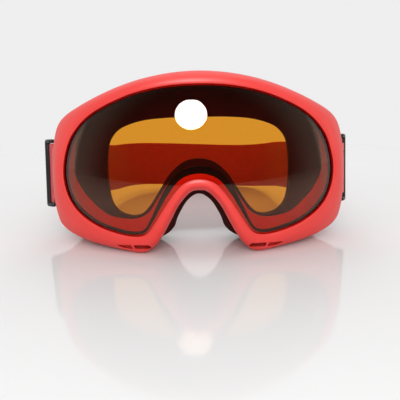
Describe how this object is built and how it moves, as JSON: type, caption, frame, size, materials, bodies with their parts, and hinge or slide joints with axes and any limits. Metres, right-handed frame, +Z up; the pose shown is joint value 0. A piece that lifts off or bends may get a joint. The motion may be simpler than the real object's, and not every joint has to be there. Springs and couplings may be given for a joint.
{
  "type": "snow goggles",
  "caption": "Snow goggles with a soft red frame, a domed orange double lens, layered face foam, hinged strap arms and an elastic strap with sliders.",
  "frame": {"origin": "on the table that the goggles stand on, on their plane of symmetry, straight below the front of the lens", "axes": "+X to the right seen from the front, the lens looks along -Y, leaning back by 8 degrees, so +Y runs back to the strap, +Z up"},
  "size_m": [0.195, 0.2035, 0.1027],
  "materials": {
    "frame_tpu": "satin",
    "lens_orange": "gloss, tinted, see-through",
    "lens_clear": "gloss, see-through",
    "spacer_black": "matte foam tape",
    "vent_foam": "open-cell foam",
    "foam_firm": "closed-cell foam",
    "foam_soft": "soft open-cell foam",
    "fleece": "short fleece",
    "arm_red": "satin",
    "pin_steel": "ground",
    "clip_black": "satin",
    "strap_webbing": "woven elastic"
  },
  "bodies": {
    "goggles": {"frame": "frame_tpu", "outer_lens": "lens_orange", "lens_spacer": "spacer_black", "inner_lens": "lens_clear", "top_vent_foam": "vent_foam", "left_lower_vent_foam": "vent_foam", "right_lower_vent_foam": "vent_foam", "face_foam_base": "foam_firm", "face_foam_soft": "foam_soft", "face_fleece": "fleece", "left_hinge_pin": "pin_steel", "right_hinge_pin": "pin_steel", "strap": "strap_webbing"},
    "left_outrigger": {"left_outrigger_arm": "arm_red", "left_strap_clip": "clip_black"},
    "right_outrigger": {"right_outrigger_arm": "arm_red", "right_strap_clip": "clip_black"},
    "left_slider": {"left_slider": "clip_black"},
    "right_slider": {"right_slider": "clip_black"}
  },
  "joints": [
    {"name": "left_outrigger_swing", "type": "hinge", "parent": "goggles", "child": "left_outrigger", "pos_m": [-0.0905, 0.05833, 0.03942], "axis": [0, 0.1392, 0.9903], "range_deg": [-37, 38], "deforming": ["strap"]},
    {"name": "right_outrigger_swing", "type": "hinge", "parent": "goggles", "child": "right_outrigger", "pos_m": [0.0905, 0.05833, 0.03942], "axis": [0, -0.1392, -0.9903], "range_deg": [-20, 55], "deforming": ["strap"]},
    {"name": "left_slider_slide", "type": "slide", "parent": "goggles", "child": "left_slider", "axis": [0.2779, 0.9513, -0.1337], "range_m": [-0.016, 0.032], "deforming": ["strap"]},
    {"name": "right_slider_slide", "type": "slide", "parent": "goggles", "child": "right_slider", "axis": [-0.2559, 0.9573, -0.1345], "range_m": [-0.012, 0.036], "deforming": ["strap"]}
  ]
}
